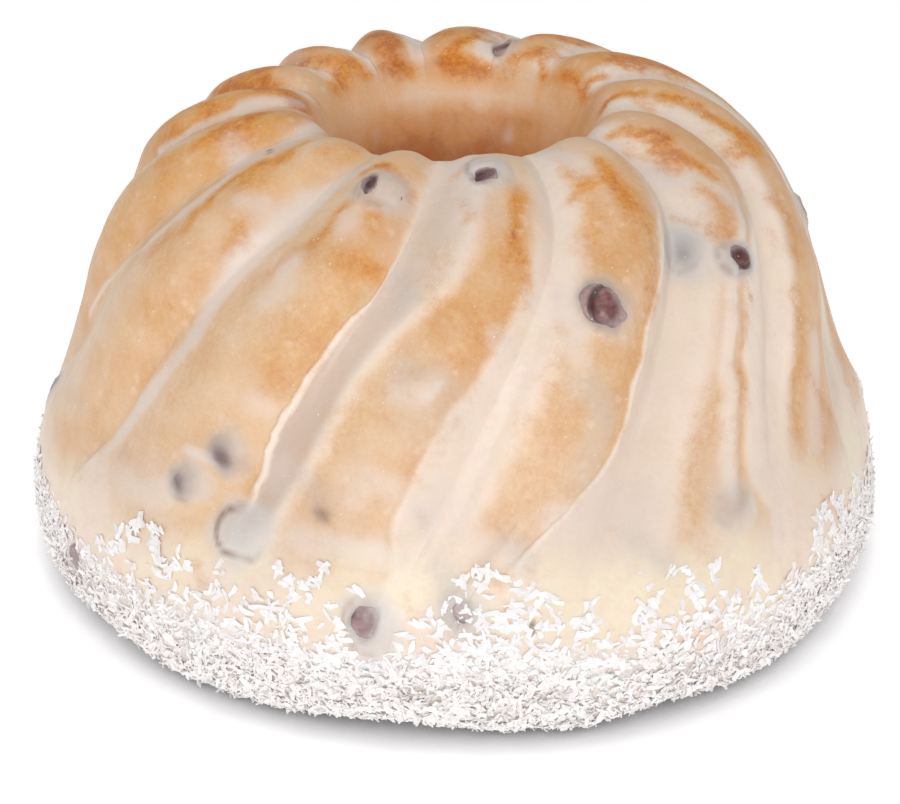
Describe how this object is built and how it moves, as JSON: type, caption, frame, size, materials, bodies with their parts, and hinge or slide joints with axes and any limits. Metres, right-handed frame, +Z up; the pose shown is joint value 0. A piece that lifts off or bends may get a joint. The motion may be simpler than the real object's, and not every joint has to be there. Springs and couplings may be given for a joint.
{
  "type": "glazed babka",
  "caption": "Ring-shaped yeast cake with twisted flutes, a funnel hole, sugar glaze, raisins set in its surface and a coconut-dusted foot.",
  "frame": {"origin": "middle of the flat ring that the cake rests on", "axes": "+Z up along the hole; -Y is the front as pictured, +X to the right of it"},
  "size_m": [0.1808, 0.1812, 0.096],
  "materials": {
    "glazed_cake": "browned yeast cake under a soft, half-clear sugar glaze, whiter in the grooves and tan on the ridges",
    "raisin": "wrinkled dark purple-brown dried fruit, greyed by the glaze over it",
    "coconut": "dry white desiccated coconut slivers"
  },
  "bodies": {
    "root": {"cake": "glazed_cake", "raisin_01": "raisin", "raisin_02": "raisin", "raisin_03": "raisin", "raisin_04": "raisin", "raisin_05": "raisin", "raisin_06": "raisin", "raisin_07": "raisin", "raisin_08": "raisin", "raisin_09": "raisin", "raisin_10": "raisin", "raisin_11": "raisin", "raisin_12": "raisin", "raisin_13": "raisin", "raisin_14": "raisin", "raisin_15": "raisin", "raisin_16": "raisin", "raisin_17": "raisin", "raisin_18": "raisin", "raisin_19": "raisin", "raisin_20": "raisin", "raisin_21": "raisin", "raisin_22": "raisin"}
  },
  "joints": []
}
